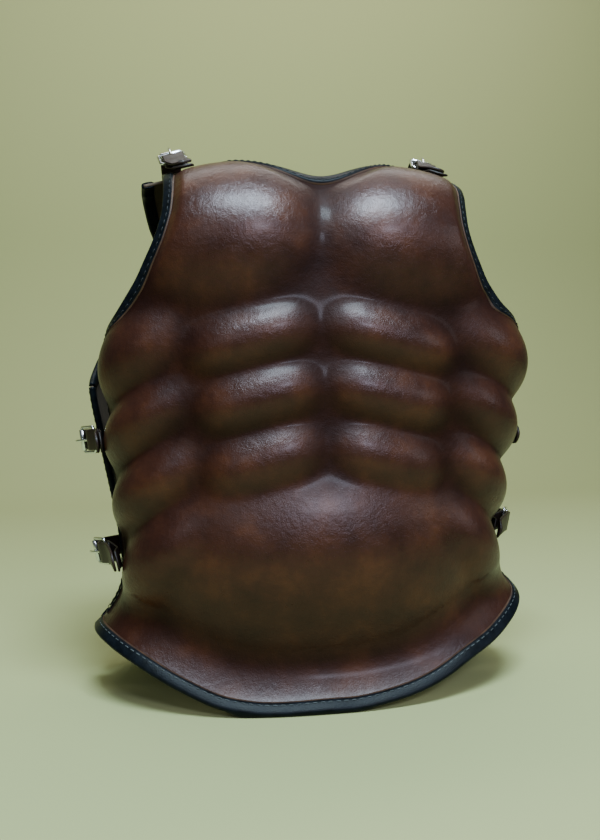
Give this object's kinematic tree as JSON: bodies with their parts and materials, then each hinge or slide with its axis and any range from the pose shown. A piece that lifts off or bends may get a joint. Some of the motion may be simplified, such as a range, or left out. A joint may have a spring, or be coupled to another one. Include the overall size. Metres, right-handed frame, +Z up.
{
  "type": "leather muscle cuirass",
  "caption": "Moulded leather muscle cuirass: breast plate and back plate with bound edges, buckled at shoulders and sides.",
  "frame": {"origin": "centre of the footprint, on the floor the rims stand on", "axes": "+Z up, the front faces -Y, +X towards the wearer's left"},
  "size_m": [0.4598, 0.2574, 0.5225],
  "materials": {
    "brown_leather": "glossy, wax-hardened, dark brown",
    "black_leather": "satin black",
    "strap_leather": "satin brown",
    "bright_steel": "bright nickel plate"
  },
  "bodies": {
    "root": {"back_armhole_binding_left": "black_leather", "back_armhole_binding_right": "black_leather", "back_neck_binding": "black_leather", "back_plate": "brown_leather", "back_rim_binding": "black_leather", "back_side_binding_left": "black_leather", "back_side_binding_right": "black_leather", "front_armhole_binding_left": "black_leather", "front_armhole_binding_right": "black_leather", "front_neck_binding": "black_leather", "front_plate": "brown_leather", "front_rim_binding": "black_leather", "front_side_binding_left": "black_leather", "front_side_binding_right": "black_leather", "lower_side_left_billet": "strap_leather", "lower_side_left_buckle_frame": "bright_steel", "lower_side_left_buckle_prong": "bright_steel", "lower_side_left_buckle_roller": "bright_steel", "lower_side_left_chape": "brown_leather", "lower_side_right_billet": "strap_leather", "lower_side_right_buckle_frame": "bright_steel", "lower_side_right_buckle_prong": "bright_steel", "lower_side_right_buckle_roller": "bright_steel", "lower_side_right_chape": "brown_leather", "shoulder_left_billet": "strap_leather", "shoulder_left_buckle_frame": "bright_steel", "shoulder_left_buckle_prong": "bright_steel", "shoulder_left_buckle_roller": "bright_steel", "shoulder_left_chape": "brown_leather", "shoulder_right_billet": "strap_leather", "shoulder_right_buckle_frame": "bright_steel", "shoulder_right_buckle_prong": "bright_steel", "shoulder_right_buckle_roller": "bright_steel", "shoulder_right_chape": "brown_leather", "upper_side_left_billet": "strap_leather", "upper_side_left_buckle_frame": "bright_steel", "upper_side_left_buckle_prong": "bright_steel", "upper_side_left_buckle_roller": "bright_steel", "upper_side_left_chape": "brown_leather", "upper_side_right_billet": "strap_leather", "upper_side_right_buckle_frame": "bright_steel", "upper_side_right_buckle_prong": "bright_steel", "upper_side_right_buckle_roller": "bright_steel", "upper_side_right_chape": "brown_leather"}
  },
  "joints": []
}
